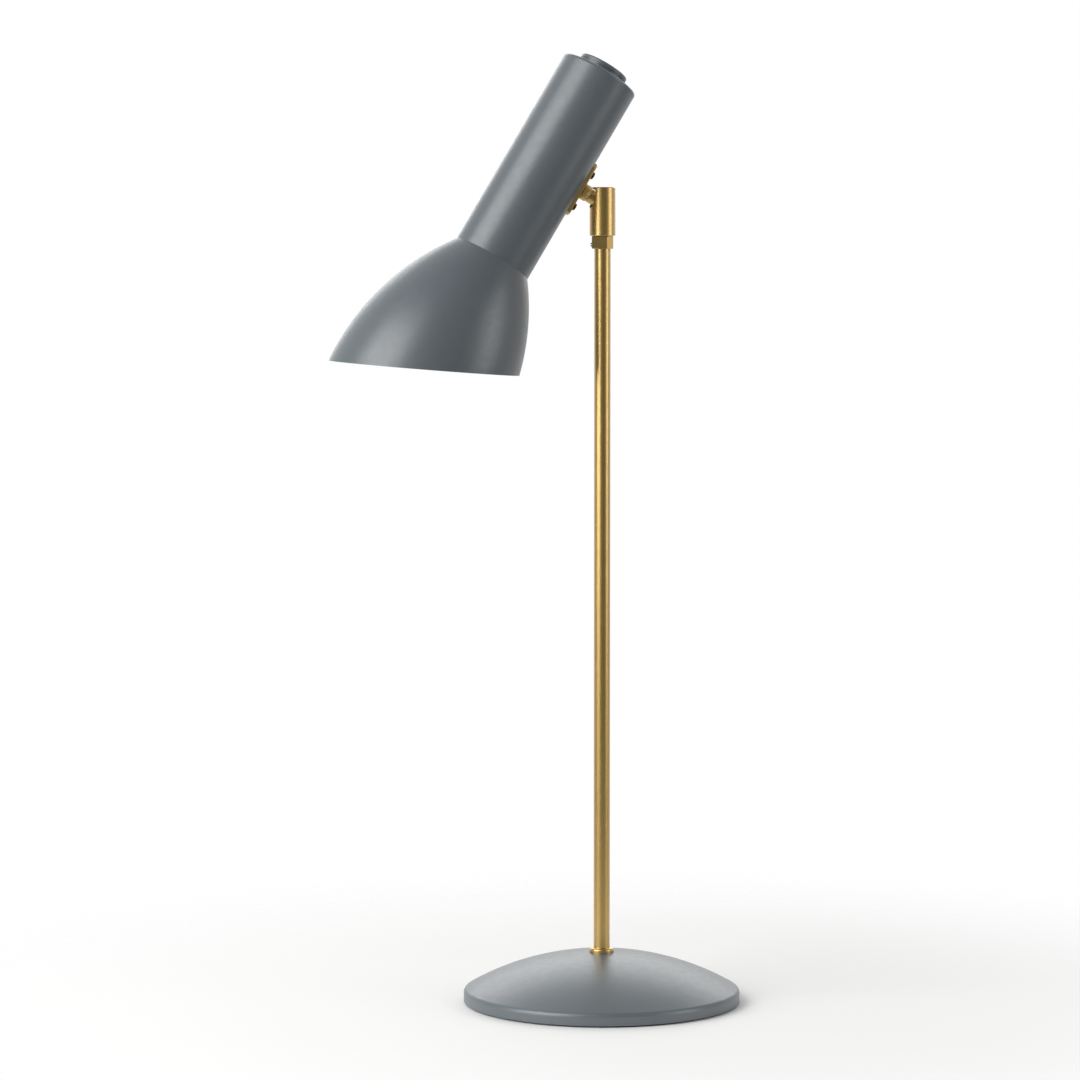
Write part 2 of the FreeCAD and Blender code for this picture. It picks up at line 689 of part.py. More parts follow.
# ---------------------------------------------------------------- head tube and button
def head_tube():
    low = -TUBE_BELOW
    top = TUBE_ABOVE
    points = [
        (TUBE_R, low),
        (TUBE_R, top),
        (RECESS_R, top),
        (RECESS_R, RECESS_Z),
        (SWITCH_BUSH_R + SLIP, RECESS_Z),
        (SWITCH_BUSH_R + SLIP, END_UNDER_Z),
        (RECESS_R + TUBE_T, END_UNDER_Z),
        (RECESS_R + TUBE_T, top - TUBE_T),
        (TUBE_BORE_R, top - TUBE_T),
        (TUBE_BORE_R, low),
    ]
    tube = turned_profile(outline(points))
    tube = round_edges(tube, TUBE_EDGE_R, lambda e: is_circle(e, TUBE_R, top))
    tube = round_edges(tube, TUBE_T / 3, lambda e: is_circle(e, RECESS_R, top))
    tube.translate(Vector(TUBE_X, 0, 0))
    tube = tube.cut(across(STALK_THREAD_R + FREE, 0, TUBE_X))
    for z in (-SCREW_PITCH / 2, SCREW_PITCH / 2):
        tube = tube.cut(across(SCREW_R + SLIP, 0, TUBE_X, z))
    return tube


def push_button():
    cap = upright(BUTTON_R, BUTTON_Z, BUTTON_TOP)
    cap = round_edges(cap, BUTTON_EDGE_R, lambda e: is_circle(e, BUTTON_R, BUTTON_TOP))
    groove_z = BUTTON_TOP - BUTTON_GROOVE_DOWN
    inner = BUTTON_R - BUTTON_GROOVE_D
    cap = cap.cut(washer(BUTTON_R + 1, inner, groove_z - BUTTON_GROOVE_W, groove_z))
    cap = cap.cut(upright(BUTTON_R - BUTTON_WALL, BUTTON_Z, BUTTON_TOP - BUTTON_TOP_T))
    cap.translate(Vector(TUBE_X, 0, 0))
    return cap


def button_plunger():
    top = BUTTON_TOP - BUTTON_TOP_T
    head = upright(PLUNGER_HEAD_R, top - PLUNGER_HEAD_L, top, TUBE_X)
    return head.fuse(upright(PLUNGER_R, top - PLUNGER_L, top, TUBE_X)).removeSplitter()


def switch_bush():
    low = END_UNDER_Z - SWITCH_BUSH_IN
    return washer(SWITCH_BUSH_R, PLUNGER_R + RUN, low, RECESS_Z + SWITCH_BUSH_OUT, TUBE_X)


def switch_body():
    body = upright(SWITCH_R, SWITCH_Z, END_UNDER_Z, TUBE_X)
    body = body.cut(upright(SWITCH_BUSH_R, END_UNDER_Z - SWITCH_BUSH_IN, END_UNDER_Z, TUBE_X))
    deepest = BUTTON_TOP - BUTTON_TOP_T - PLUNGER_L - BUTTON_TRAVEL - SLIP
    return body.cut(upright(PLUNGER_R + SLIP, deepest, END_UNDER_Z, TUBE_X))


def switch_nut():
    nut = prism(6, SWITCH_NUT_AF, SWITCH_NUT_H).cut(upright(SWITCH_BUSH_R, 0, SWITCH_NUT_H))
    nut.translate(Vector(TUBE_X, 0, RECESS_Z))
    return nut


# ---------------------------------------------------------------- saddle
def lies_on_tube(edge, radius):
    """True where a whole edge is this far from the head tube's axis."""
    near = 1e-3
    for at in (edge.FirstParameter, (edge.FirstParameter + edge.LastParameter) / 2, edge.LastParameter):
        point = edge.valueAt(at)
        if abs(math.hypot(point.x - TUBE_X, point.y) - radius) > near:
            return False
    return True


def saddle_plate():
    half_l = PLATE_L / 2
    half_w = PLATE_W / 2
    blank = block((TUBE_X, -half_w, -half_l), (PLATE_OUT_X, half_w, half_l))
    blank = round_edges(blank, PLATE_CORNER_R, lambda e: abs(e.tangentAt(e.FirstParameter).x) > 0.9)
    outer_r = TUBE_R + PLATE_T
    plate = blank.common(washer(outer_r, TUBE_R, -half_l, half_l, TUBE_X))
    rim = [e for e in plate.Edges if lies_on_tube(e, outer_r)]
    plate = plate.makeChamfer(PLATE_BEVEL, rim)
    plate = plate.cut(across(STALK_THREAD_R + RUN, 0, TUBE_X))
    for z in (-SCREW_PITCH / 2, SCREW_PITCH / 2):
        plate = plate.cut(across(SCREW_R + SLIP, 0, TUBE_X, z))
    return plate


def saddle_screw():
    """One slotted cheese-head screw, upright, with its head's underside at zero."""
    top = SCREW_HEAD_L
    head = upright(SCREW_HEAD_R, 0, top)
    head = round_edges(head, SCREW_HEAD_EDGE, lambda e: is_circle(e, SCREW_HEAD_R, top))
    half = SCREW_SLOT_W / 2
    slot = block((-half, -SCREW_HEAD_R, top - SCREW_SLOT_D), (half, SCREW_HEAD_R, top))
    shank_l = PLATE_OUT_X - STRAP_FLAT_X
    return head.cut(slot).fuse(upright(SCREW_R, -shank_l, 0))


def saddle_screws():
    screws = []
    for z in (-SCREW_PITCH / 2, SCREW_PITCH / 2):
        screw = saddle_screw()
        screw.rotate(Vector(), Vector(0, 1, 0), 90)
        screw.translate(Vector(PLATE_OUT_X, 0, z))
        screws.append(screw)
    return Part.makeCompound(screws)


# ---------------------------------------------------------------- shade
def shade_curve(inset):
    """Ends and middle of the shade's arc, moved inwards, from the neck to past the mouth."""
    radius = SHADE_ARC_R - inset
    points = []
    far_u = SHADE_WIDEST_U * 1.5
    for u in (0, far_u / 2, far_u):
        r = math.sqrt(radius ** 2 - (SHADE_WIDEST_U - u) ** 2) - SHADE_ARC_IN
        points.append((r, -TUBE_BELOW - u))
    return points


def mouth_cut():
    """Everything beyond the mouth's plane."""
    room = 4 * SHADE_WIDEST_R
    near_r = math.sqrt(SHADE_ARC_R ** 2 - (SHADE_WIDEST_U - MOUTH_NEAR_U) ** 2) - SHADE_ARC_IN
    beyond = block((-room, -room, -room), (room, room, 0))
    beyond.rotate(Vector(), Vector(0, 1, 0), -MOUTH_ANGLE)
    beyond.translate(Vector(TUBE_X + near_r, 0, -TUBE_BELOW - MOUTH_NEAR_U))
    return beyond


def shade():
    outer = shade_curve(0)
    inner = shade_curve(SHADE_T)
    neck_r = TUBE_BORE_R - SLIP
    lip_z = -TUBE_BELOW - SHADE_LIP_T
    neck_top = -TUBE_BELOW + SHADE_NECK_L
    edges = [
        arc(*outer),
        line(outer[2], inner[2]),
        arc(*reversed(inner)),
        line(inner[0], (neck_r - SHADE_T, -TUBE_BELOW)),
        line((neck_r - SHADE_T, -TUBE_BELOW), (neck_r - SHADE_T, neck_top)),
        line((neck_r - SHADE_T, neck_top), (neck_r, neck_top)),
        line((neck_r, neck_top), (neck_r, -TUBE_BELOW)),
        line((neck_r, -TUBE_BELOW), outer[0]),
    ]
    skin = turned_profile(edges, TUBE_X)
    lip = washer(TUBE_R - SHADE_T / 2, neck_r - SHADE_T, lip_z, -TUBE_BELOW, TUBE_X)
    return skin.fuse(lip).cut(mouth_cut()).removeSplitter()


# ---------------------------------------------------------------- lampholder and bulb
def holder_strap():
    half = STRAP_W / 2
    leg = block((STRAP_FLAT_X, -half, STRAP_FOOT_Z), (WALL_IN_X, half, STRAP_TOP))
    leg = leg.common(upright(TUBE_BORE_R, STRAP_FOOT_Z, STRAP_TOP, TUBE_X))
    far_x = TUBE_X - STRAP_FOOT_PAST
    foot = block((far_x, -half, STRAP_FOOT_Z), (STRAP_FLAT_X, half, STRAP_FOOT_TOP))
    strap = leg.fuse(foot)
    strap = strap.cut(upright(NIPPLE_R + SLIP, STRAP_FOOT_Z, STRAP_FOOT_TOP, TUBE_X))
    strap = strap.cut(across(STALK_THREAD_R + FREE, 0, TUBE_X))
    for z in (-SCREW_PITCH / 2, SCREW_PITCH / 2):
        strap = strap.cut(across(SCREW_R, 0, STRAP_FLAT_X, z))
    return strap.removeSplitter()


def holder_nipple():
    low = STRAP_FOOT_Z - NIPPLE_DOWN
    return washer(NIPPLE_R, NIPPLE_BORE_R, low, STRAP_FOOT_TOP + NIPPLE_UP, TUBE_X)


def holder_nut():
    nut = prism(6, HOLDER_NUT_AF, HOLDER_NUT_H).cut(upright(NIPPLE_R, 0, HOLDER_NUT_H))
    nut.translate(Vector(TUBE_X, 0, STRAP_FOOT_TOP))
    return nut


def lampholder_cap():
    body = upright(HOLDER_R, HOLDER_JOIN_Z, HOLDER_TOP_Z)
    body = round_edges(body, HOLDER_EDGE_R, lambda e: is_circle(e, HOLDER_R, HOLDER_TOP_Z))
    body = body.cut(upright(NIPPLE_R, HOLDER_TOP_Z - NIPPLE_DOWN, HOLDER_TOP_Z))
    body = body.cut(upright(NIPPLE_BORE_R, HOLDER_JOIN_Z, HOLDER_TOP_Z))
    body.translate(Vector(TUBE_X, 0, 0))
    return body


def lampholder_body():
    body = upright(HOLDER_R, HOLDER_MOUTH_Z, HOLDER_JOIN_Z)
    body = body.cut(upright(HOLDER_BORE_R, HOLDER_MOUTH_Z, HOLDER_ROOF_Z))
    body.translate(Vector(TUBE_X, 0, 0))
    return body


def lampholder_shell():
    top = HOLDER_ROOF_Z
    inner = SCREW_SHELL_R - SCREW_SHELL_T
    return washer(SCREW_SHELL_R, inner, top - SCREW_SHELL_L, top, TUBE_X)


def lampholder_contact():
    low = HOLDER_ROOF_Z - CONTACT_T
    half = CONTACT_W / 2
    return block((TUBE_X - CONTACT_W, -half, low), (TUBE_X + half, half, HOLDER_ROOF_Z))


def bulb_cap():
    shell = upright(BULB_CAP_R, BULB_SHELL_END, BULB_SHELL_TOP, TUBE_X)
    tip_low = BULB_SHELL_TOP
    tip_l = BULB_TIP_Z - BULB_SHELL_TOP
    tip = Part.makeCone(BULB_CAP_R, BULB_TIP_R, tip_l, Vector(TUBE_X, 0, tip_low), Vector(0, 0, 1))
    return shell.fuse(tip)


def globe_outline(radius, neck):
    """Half outline of a globe with a conical neck that is tangent to it."""
    rise = BULB_SHELL_END - BULB_CENTRE_Z
    far = math.hypot(neck, rise)
    angle = math.atan2(rise, neck) - math.acos(radius / far)
    touch = (radius * math.cos(angle), BULB_CENTRE_Z + radius * math.sin(angle))
    low_angle = (angle - math.pi / 2) / 2
    middle = (radius * math.cos(low_angle), BULB_CENTRE_Z + radius * math.sin(low_angle))
    crown = (0, BULB_CENTRE_Z - radius)
    start = (neck, BULB_SHELL_END)
    top = (0, BULB_SHELL_END)
    return [line(top, start), line(start, touch), arc(touch, middle, crown), line(crown, top)]


def bulb_globe():
    outer = turned_profile(globe_outline(BULB_R, BULB_NECK_R), TUBE_X)
    inner = turned_profile(globe_outline(BULB_R - BULB_WALL, BULB_NECK_R - BULB_WALL), TUBE_X)
    return outer.cut(inner)


# ---------------------------------------------------------------- leads in the head
def lead_live():
    start = Vector(STALK_END_X - SLIP, LEAD_SIDE, 0)
    riser_x = TUBE_X + SWITCH_R / 2
    corner = Vector(riser_x, LEAD_SIDE, 0)
    end = Vector(riser_x, LEAD_SIDE, SWITCH_Z)
    return lead([start, corner, end], HEAD_LEAD_R, HEAD_LEAD_BEND)


def lead_neutral():
    start = Vector(STALK_END_X - SLIP, -LEAD_SIDE, 0)
    down_x = TUBE_X + NIPPLE_BORE_R / 2
    corner = Vector(down_x, -LEAD_SIDE, 0)
    end = Vector(down_x, -LEAD_SIDE, HOLDER_JOIN_Z)
    return lead([start, corner, end], HEAD_LEAD_R, HEAD_LEAD_BEND)


def lead_switched():
    side_x = TUBE_X - SWITCH_R / 2
    down_x = TUBE_X - NIPPLE_BORE_R / 2
    bend_z = STRAP_FOOT_TOP + NIPPLE_UP
    points = [
        Vector(side_x, LEAD_SIDE, SWITCH_Z),
        Vector(side_x, LEAD_SIDE, -bend_z),
        Vector(down_x, LEAD_SIDE, bend_z / 2),
        Vector(down_x, LEAD_SIDE, HOLDER_JOIN_Z),
    ]
    return lead(points, HEAD_LEAD_R, HEAD_LEAD_BEND)


STANDING = [
    base_shell, base_weight, base_pad, cable_grommet, terminal_block, clamp_screws, fixing_screw,
    base_lead, stem_tube, stem_washer, stem_nut, stem_collar, swivel_nut, swivel_grub_screw,
    swivel_spigot, stop_pin, swivel_washer, joint_barrel, ball_cup, ball_spring,
]
ON_HEAD = [
    ball, stalk, stalk_ring, stalk_washer, stalk_nut, saddle_plate, saddle_screws, head_tube,
    push_button, button_plunger, switch_bush, switch_body, switch_nut, shade, holder_strap,
    holder_nipple, holder_nut, lampholder_cap, lampholder_body, lampholder_shell,
    lampholder_contact, bulb_cap, bulb_globe, lead_live, lead_neutral, lead_switched,
]

os.makedirs("parts", exist_ok=True)
for make in STANDING + ON_HEAD:
    shape = make()
    if make in ON_HEAD:
        shape = place_head(shape)
    name = make.__name__
    report = (name, shape.Volume / 1000, len(shape.Solids), shape.isValid())
    print("%-20s %8.2f cm3, solids %d, valid %s" % report)
    shape.exportStep("parts/%s.step" % name)
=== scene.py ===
# %% [markdown]
# # A desk lamp with a ball-jointed head
#
# The lamp stands on a weighted, domed foot. A brass stem carries a slotted brass barrel, a
# ball turns in the barrel, and a stalk joins the ball to a grey tube that flares into the
# shade. This lesson starts from the machined model, gives every piece its real finish,
# swaps a few small pieces for finer ones, and lights the lamp in a plain studio.

import json
import math

import bmesh
import bpy
from mathutils import Matrix, Vector


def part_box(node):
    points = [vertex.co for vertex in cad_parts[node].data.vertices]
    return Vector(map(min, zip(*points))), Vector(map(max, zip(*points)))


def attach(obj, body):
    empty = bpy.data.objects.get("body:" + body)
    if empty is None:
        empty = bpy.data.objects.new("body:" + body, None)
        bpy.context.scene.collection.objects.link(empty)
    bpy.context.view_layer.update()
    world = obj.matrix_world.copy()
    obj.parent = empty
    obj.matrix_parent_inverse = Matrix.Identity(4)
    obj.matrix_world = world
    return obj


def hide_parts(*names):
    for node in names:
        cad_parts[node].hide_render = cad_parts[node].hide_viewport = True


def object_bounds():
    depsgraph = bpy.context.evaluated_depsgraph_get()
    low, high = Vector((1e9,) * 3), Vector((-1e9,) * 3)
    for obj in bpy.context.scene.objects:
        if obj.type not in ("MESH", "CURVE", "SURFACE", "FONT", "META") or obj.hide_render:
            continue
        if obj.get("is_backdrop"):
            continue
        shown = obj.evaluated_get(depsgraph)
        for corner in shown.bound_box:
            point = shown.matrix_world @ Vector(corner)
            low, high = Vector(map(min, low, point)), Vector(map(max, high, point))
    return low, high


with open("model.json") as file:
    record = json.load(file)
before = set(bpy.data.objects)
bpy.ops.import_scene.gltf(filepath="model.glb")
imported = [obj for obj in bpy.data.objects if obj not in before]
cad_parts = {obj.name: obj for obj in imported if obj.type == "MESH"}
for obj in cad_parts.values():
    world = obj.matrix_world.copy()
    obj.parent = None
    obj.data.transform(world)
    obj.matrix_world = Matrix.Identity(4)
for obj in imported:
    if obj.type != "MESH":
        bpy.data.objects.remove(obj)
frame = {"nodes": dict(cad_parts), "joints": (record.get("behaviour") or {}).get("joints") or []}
nodes = frame["nodes"]
machined_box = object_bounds()
scene = bpy.context.scene
print("pieces:", len(nodes))
print("whole lamp from", machined_box[0], "to", machined_box[1])

# %% [markdown]
# ## Where the head is
#
# The head leans, so its pieces are awkward to measure along the world's axes. The joints say
# how it leans: one turns it about the stalk and another presses its button along the tube.
# Three vectors made from them give the head a frame of its own, where the tube is upright,
# the ball is at zero and the stem is on the +X side.

# %% The head's own frame
joints = {joint["name"]: joint for joint in frame["joints"]}
ball_centre = Vector(joints["head_tilt"]["pos_m"])
along_stalk = Vector(joints["head_roll"]["axis"]).normalized()
up_tube = -Vector(joints["button_press"]["axis"]).normalized()
head_frame = Matrix((-along_stalk, up_tube.cross(-along_stalk), up_tube)).transposed().to_4x4()
head_frame.translation = ball_centre
lean = math.degrees(math.acos(up_tube.z))
print("the tube leans %.1f degrees" % lean)

# %% Measure a piece in a frame
MM = 0.001


def measured(node, place=Matrix()):
    """Lowest and highest corner of a piece, seen from a frame of our choice."""
    inward = place.inverted()
    corners = [inward @ vertex.co for vertex in nodes[node].data.vertices]
    low = Vector([min(corner[axis] for corner in corners) for axis in range(3)])
    high = Vector([max(corner[axis] for corner in corners) for axis in range(3)])
    return low, high


tube_low, tube_high = measured("head_tube", head_frame)
tube_axis_x = (tube_low.x + tube_high.x) / 2
print("head tube %.1f mm across" % ((tube_high.y - tube_low.y) / MM))

# %% [markdown]
# ## Colours and nodes
#
# Colours are picked as sRGB hex values, the way a paint chart gives them, but a shader
# works in linear light, so one function turns one into the other. A second function adds a
# node, sets its options and sockets, and links its inputs. It makes every finish below short.

# %% Hex colour to linear light
def linear(hex_colour):
    """sRGB hex to the linear RGBA that sockets want."""
    shares = [int(hex_colour[i:i + 2], 16) / 255 for i in (1, 3, 5)]
    return [c / 12.92 if c <= 0.04045 else ((c + 0.055) / 1.055) ** 2.4 for c in shares] + [1.0]


print("mid grey is", [round(c, 3) for c in linear("#808080")])

# %% Add a node
def add_node(tree, kind, settings=None, links=None):
    """Add one node. A setting is an option's name or a socket's name or number."""
    node = tree.nodes.new(kind)
    for name, value in (settings or {}).items():
        if isinstance(name, int) or name in node.inputs:
            node.inputs[name].default_value = value
        else:
            setattr(node, name, value)
    for name, output in (links or {}).items():
        tree.links.new(output, node.inputs[name])
    return node


# %% Begin a finish
def begin_finish(name, sockets):
    """A new material with its shader's steady values set."""
    finish = bpy.data.materials.new(name)
    finish.use_nodes = True
    shader = finish.node_tree.nodes["Principled BSDF"]
    for socket, value in sockets.items():
        shader.inputs[socket].default_value = value
    return finish, finish.node_tree, shader


def per_metre(millimetres):
    """Texture scale for a pattern whose cells are this wide."""
    return 1 / (millimetres * MM)


print("a 2 mm pattern has scale", per_metre(2))

# %% [markdown]
# ## Three things that most finishes share
#
# A real surface is never one colour, never one gloss and never quite flat. Three helpers
# give a finish these: a cloudy change between two close colours, a change of gloss with the
# same kind of cloud, and a fine relief. Each takes its size in millimetres.

# %% Clouds of colour, gloss and relief
def cloud(tree, size, stretch=(1, 1, 1), turn=(0, 0, 0), detail=3.0):
    """Noise with cells of this size, stretched along the axes of a turned frame."""
    place = add_node(tree, "ShaderNodeTexCoord")
    laid = add_node(
        tree,
        "ShaderNodeMapping",
        {"Rotation": turn, "vector_type": "TEXTURE", "Scale": stretch},
        {"Vector": place.outputs["Object"]},
    )
    return add_node(
        tree,
        "ShaderNodeTexNoise",
        {"Scale": per_metre(size), "Detail": detail, "Roughness": 0.55},
        {"Vector": laid.outputs["Vector"]},
    ).outputs["Fac"]


def clouded_colour(tree, shader, noise, dark, light):
    """Base colour that drifts between two close colours."""
    blend = add_node(
        tree,
        "ShaderNodeMix",
        {"data_type": "RGBA", 6: linear(dark), 7: linear(light)},
        {0: noise},
    )
    tree.links.new(blend.outputs[2], shader.inputs["Base Color"])


def clouded_gloss(tree, shader, noise, low, high):
    """Roughness that drifts between two values."""
    spread = add_node(
        tree,
        "ShaderNodeMapRange",
        {"From Min": 0.3, "From Max": 0.7, "To Min": low, "To Max": high},
        {"Value": noise},
    )
    tree.links.new(spread.outputs["Result"], shader.inputs["Roughness"])


def relief(tree, shader, noise, depth, strength=1.0):
    """Fine bumps, this many millimetres deep."""
    bump = add_node(
        tree,
        "ShaderNodeBump",
        {"Distance": depth * MM, "Strength": strength},
        {"Height": noise},
    )
    tree.links.new(bump.outputs["Normal"], shader.inputs["Normal"])


# %% [markdown]
# ## Powder-coated steel
#
# The foot, the tube, the button and the shade's outside are pressed and turned steel with a
# baked polyester powder coat. The powder melts into a skin with a faint orange peel about a
# millimetre and a half wide, so highlights are wide and soft with a slightly broken edge.
# The coat is a plastic, so it isn't metallic and its IOR is 1.5. Its skin is rich in resin
# and reflects more than plain plastic does, so the specular level is raised.

# %% Grey powder coat
grey_coat, tree, shader = begin_finish(
    "grey_powder_coat", {"IOR": 1.5, "Specular IOR Level": 0.9}
)
clouded_colour(tree, shader, cloud(tree, 35), "#596166", "#5F676C")
clouded_gloss(tree, shader, cloud(tree, 4), 0.34, 0.41)
relief(tree, shader, cloud(tree, 1.5, detail=2.0), 0.012, 0.5)
print("made", grey_coat.name)

# %% [markdown]
# ## White stove enamel
#
# The shade's inside is sprayed white to throw the light forward. It is glossier than the
# powder coat and a little warm. The same peel shows in it, finer and shallower.

# %% White enamel
white_enamel, tree, shader = begin_finish("white_enamel", {"IOR": 1.5})
clouded_colour(tree, shader, cloud(tree, 25), "#F0EFEA", "#F8F7F3")
clouded_gloss(tree, shader, cloud(tree, 3), 0.26, 0.34)
relief(tree, shader, cloud(tree, 1.1, detail=2.0), 0.02, 0.5)
print("made", white_enamel.name)

# %% [markdown]
# ## Satin brass
#
# The stem is drawn tube and the barrel, nut, collar, stalk and ring are turned from bar. All
# are rubbed down with fine grit and lacquered, which leaves a silky gold with hair-fine
# lines. The lines run along the drawn stem and round the turned pieces. Real grit lines are
# a few hundredths of a millimetre wide, too fine to show, so they are drawn about 0.25 mm
# wide. Brass is a metal: metallic 1, and its colour is the colour of its reflections. The
# lacquer is the shader's clear coat.

# %% Brass with grit lines one way
def satin_brass(name, stretch, turn=(0, 0, 0)):
    """Stretch is large along the lines. Turn lays them along a leaning piece."""
    lacquer = {"Coat Weight": 1.0, "Coat Roughness": 0.26, "Coat IOR": 1.5}
    finish, tree, shader = begin_finish(name, {"Metallic": 1.0, **lacquer})
    clouded_colour(tree, shader, cloud(tree, 9, detail=4.0), "#C4A25A", "#CFAE68")
    lines = cloud(tree, 0.25, stretch, turn, detail=2.0)
    clouded_gloss(tree, shader, lines, 0.32, 0.42)
    relief(tree, shader, lines, 0.012, 0.6)
    return finish


head_turn = head_frame.to_euler()
drawn_brass = satin_brass("drawn_brass", (1, 1, 40))
turned_brass = satin_brass("turned_brass", (30, 30, 1))
stalk_brass = satin_brass("stalk_brass", (1, 30, 30), head_turn)
plate_brass = satin_brass("plate_brass", (1, 1, 25), head_turn)
print("brass finishes made")

# %% [markdown]
# ## Steel, nickel and iron
#
# The nuts and washers under the foot and in the head are zinc-plated steel with a faint
# crystal mottle. The saddle's screws are blackened steel, oiled, so they stay dark but
# shine. The switch's bush and the bulb's cap are nickel-plated, smoother and warmer than
# zinc. The weight in the foot is cast iron with the grain of its sand mould.

# %% Plated, blackened and cast metals
def plated_steel(name, dark, light, gloss_low, gloss_high, crystal):
    finish, tree, shader = begin_finish(name, {"Metallic": 1.0})
    mottle = cloud(tree, crystal, detail=4.0)
    clouded_colour(tree, shader, mottle, dark, light)
    clouded_gloss(tree, shader, mottle, gloss_low, gloss_high)
    relief(tree, shader, cloud(tree, crystal / 4), 0.01, 0.4)
    return finish


zinc_steel = plated_steel("zinc_plated_steel", "#A9ABAE", "#C3C5C7", 0.26, 0.42, 2.5)
black_steel = plated_steel("blackened_steel", "#3A2C20", "#57432F", 0.28, 0.42, 1.2)
nickel = plated_steel("nickel_plate", "#C4BFB2", "#D6D1C5", 0.14, 0.26, 3.0)
spring_steel = plated_steel("spring_steel", "#8C8D90", "#A5A6A8", 0.22, 0.36, 1.5)

cast_iron, tree, shader = begin_finish("cast_iron", {"Metallic": 0.35})
clouded_colour(tree, shader, cloud(tree, 5, detail=5.0), "#2B2B2D", "#404042")
clouded_gloss(tree, shader, cloud(tree, 2), 0.6, 0.78)
relief(tree, shader, cloud(tree, 0.8, detail=4.0), 0.25, 0.8)
print("metals made")

# %% [markdown]
# ## Felt, rubber and plastics
#
# The pad under the foot is pressed wool felt: matte, with a soft sheen from its loose
# fibres, which lie every way and are drawn as a fine tangle. The inlet's grommet is
# moulded rubber. The switch and the lampholder are black phenolic, the small bearings and
# the terminal block are nylon, and the leads have a PVC skin.

# %% Wool felt
wool_felt, tree, shader = begin_finish(
    "wool_felt", {"Sheen Weight": 0.5, "Sheen Roughness": 0.5, "Specular IOR Level": 0.2}
)
fibres = cloud(tree, 0.5, (1, 5, 1), (0, 0, 0.7), detail=5.0)
clouded_colour(tree, shader, fibres, "#1C1C1E", "#37373A")
clouded_gloss(tree, shader, fibres, 0.85, 0.98)
relief(tree, shader, fibres, 0.3, 0.8)
print("made", wool_felt.name)

# %% Moulded finishes
def moulded(name, dark, light, gloss_low, gloss_high, grain, depth, steady=None):
    """A moulded skin: faint flow marks in its colour and the mould's own grain."""
    sockets = {"IOR": 1.5}
    sockets.update(steady or {})
    finish, tree, shader = begin_finish(name, sockets)
    clouded_colour(tree, shader, cloud(tree, 7), dark, light)
    clouded_gloss(tree, shader, cloud(tree, 2.5), gloss_low, gloss_high)
    relief(tree, shader, cloud(tree, grain, detail=2.0), depth, 0.6)
    return finish


rubber = moulded("black_rubber", "#151516", "#1F1F20", 0.6, 0.75, 0.5, 0.04)
phenolic = moulded("black_phenolic", "#141415", "#1D1C1C", 0.22, 0.36, 2.0, 0.02)
nylon_skin = {"Subsurface Weight": 0.15, "Subsurface Scale": 0.002}
nylon = moulded("white_nylon", "#DDDACF", "#E8E5DB", 0.4, 0.52, 0.8, 0.03, nylon_skin)
pvc_brown = moulded("brown_pvc", "#4A2A17", "#5A3520", 0.34, 0.46, 0.6, 0.02)
pvc_blue = moulded("blue_pvc", "#1F4B8C", "#29589C", 0.34, 0.46, 0.6, 0.02)
pvc_sheath = moulded("pale_pvc_sheath", "#C9C7C0", "#D5D3CC", 0.36, 0.5, 0.7, 0.02)
print("soft and moulded finishes made")

# %% [markdown]
# ## Opal glass
#
# The bulb's globe is thin glass with a white powder baked inside, so light passes but
# nothing is seen through it. It could be a mixed glass and diffuse shader. One shader
# with part transmission and some roughness is simpler and travels better.

# %% Opal glass
opal_glass, tree, shader = begin_finish(
    "opal_glass",
    {"IOR": 1.45, "Transmission Weight": 0.3, "Coat Weight": 0.5, "Coat Roughness": 0.05},
)
clouded_colour(tree, shader, cloud(tree, 12), "#F3F1EA", "#FBFAF6")
clouded_gloss(tree, shader, cloud(tree, 6), 0.3, 0.4)
relief(tree, shader, cloud(tree, 10, detail=1.0), 0.02, 0.3)
print("made", opal_glass.name)

# %% [markdown]
# ## Dress the machined pieces
#
# Most pieces keep their machined shape, so they only need their finish. The table gives
# each finish its pieces. The shade has two: each of its faces is looked at in the head's
# frame, and those that face the tube's axis get the white enamel. The cut rim of the mouth
# stays grey, because the coat wraps over it. A face that looks along the tube can be a rim
# or the step at the neck, so its height tells which it is.

# %% Hand out the finishes
dressed = {
    grey_coat: ["base_shell", "head_tube", "push_button", "shade"],
    drawn_brass: ["stem_tube"],
    turned_brass: ["stem_collar", "swivel_nut", "swivel_spigot", "joint_barrel"],
    stalk_brass: ["stalk", "stalk_nut", "stalk_ring"],
    plate_brass: ["saddle_plate", "clamp_screws", "lampholder_contact"],
    zinc_steel: [
        "stem_washer",
        "stem_nut",
        "fixing_screw",
        "holder_strap",
        "holder_nipple",
        "holder_nut",
    ],
    spring_steel: ["swivel_grub_screw", "stop_pin", "ball_spring", "ball"],
    black_steel: ["saddle_screws"],
    nickel: ["switch_bush", "switch_nut", "lampholder_shell", "bulb_cap"],
    cast_iron: ["base_weight"],
    wool_felt: ["base_pad"],
    rubber: ["cable_grommet"],
    phenolic: ["switch_body", "lampholder_cap", "lampholder_body"],
    nylon: ["terminal_block", "swivel_washer", "ball_cup", "stalk_washer", "button_plunger"],
    pvc_sheath: ["base_lead"],
    pvc_brown: ["lead_live", "lead_switched"],
    pvc_blue: ["lead_neutral"],
    opal_glass: ["bulb_globe"],
}
for finish, names in dressed.items():
    for name in names:
        nodes[name].data.materials.clear()
        nodes[name].data.materials.append(finish)
undressed = set(nodes) - {name for names in dressed.values() for name in names}
print("pieces with no finish yet:", sorted(undressed))

